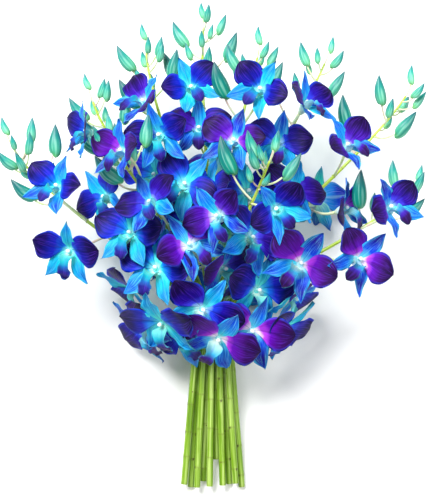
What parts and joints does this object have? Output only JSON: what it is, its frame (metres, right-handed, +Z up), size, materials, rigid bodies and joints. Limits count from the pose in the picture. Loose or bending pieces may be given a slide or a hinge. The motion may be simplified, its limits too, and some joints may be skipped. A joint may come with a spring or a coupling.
{
  "type": "dendrobium orchid bouquet",
  "caption": "Loose bunch of cut dendrobium orchid sprays with blue and violet flowers, teal buds and bare green stems, tied at the waist and lying on its back.",
  "frame": {"origin": "centre of the box round the whole bunch, on the surface that it lies on", "axes": "+Y runs along the bunch from the cut ends to the tips, +Z is up, through the front of the bunch, and +X is to the right of the bunch seen from the front"},
  "size_m": [0.4213, 0.4825, 0.1993],
  "materials": {
    "petals": "soft satin petal, dyed violet and blue",
    "stems": "satin green stem, teal buds",
    "band": "matte green rubber band"
  },
  "bodies": {
    "root": {"spray_01_bloom_1": "petals", "spray_01_bloom_2": "petals", "spray_01_bloom_3": "petals", "spray_01_bloom_4": "petals", "spray_01_bloom_5": "petals", "spray_02_bloom_1": "petals", "spray_02_bloom_2": "petals", "spray_02_bloom_3": "petals", "spray_02_bloom_4": "petals", "spray_02_bloom_5": "petals", "spray_03_bloom_1": "petals", "spray_03_bloom_2": "petals", "spray_03_bloom_3": "petals", "spray_03_bloom_4": "petals", "spray_03_bloom_5": "petals", "spray_04_bloom_1": "petals", "spray_04_bloom_2": "petals", "spray_04_bloom_3": "petals", "spray_04_bloom_4": "petals", "spray_04_bloom_5": "petals", "spray_05_bloom_1": "petals", "spray_05_bloom_2": "petals", "spray_05_bloom_3": "petals", "spray_05_bloom_4": "petals", "spray_05_bloom_5": "petals", "spray_06_bloom_1": "petals", "spray_06_bloom_2": "petals", "spray_06_bloom_3": "petals", "spray_06_bloom_4": "petals", "spray_06_bloom_5": "petals", "spray_07_bloom_1": "petals", "spray_07_bloom_2": "petals", "spray_07_bloom_3": "petals", "spray_07_bloom_4": "petals", "spray_07_bloom_5": "petals", "spray_08_bloom_1": "petals", "spray_08_bloom_2": "petals", "spray_08_bloom_3": "petals", "spray_08_bloom_4": "petals", "spray_08_bloom_5": "petals", "spray_09_bloom_1": "petals", "spray_09_bloom_2": "petals", "spray_09_bloom_3": "petals", "spray_09_bloom_4": "petals", "spray_10_bloom_1": "petals", "spray_10_bloom_2": "petals", "spray_10_bloom_3": "petals", "spray_10_bloom_4": "petals", "spray_10_bloom_5": "petals", "spray_01_stem": "stems", "spray_02_stem": "stems", "spray_03_stem": "stems", "spray_04_stem": "stems", "spray_05_stem": "stems", "spray_06_stem": "stems", "spray_07_stem": "stems", "spray_08_stem": "stems", "spray_09_stem": "stems", "spray_10_stem": "stems", "tie": "band"}
  },
  "joints": []
}
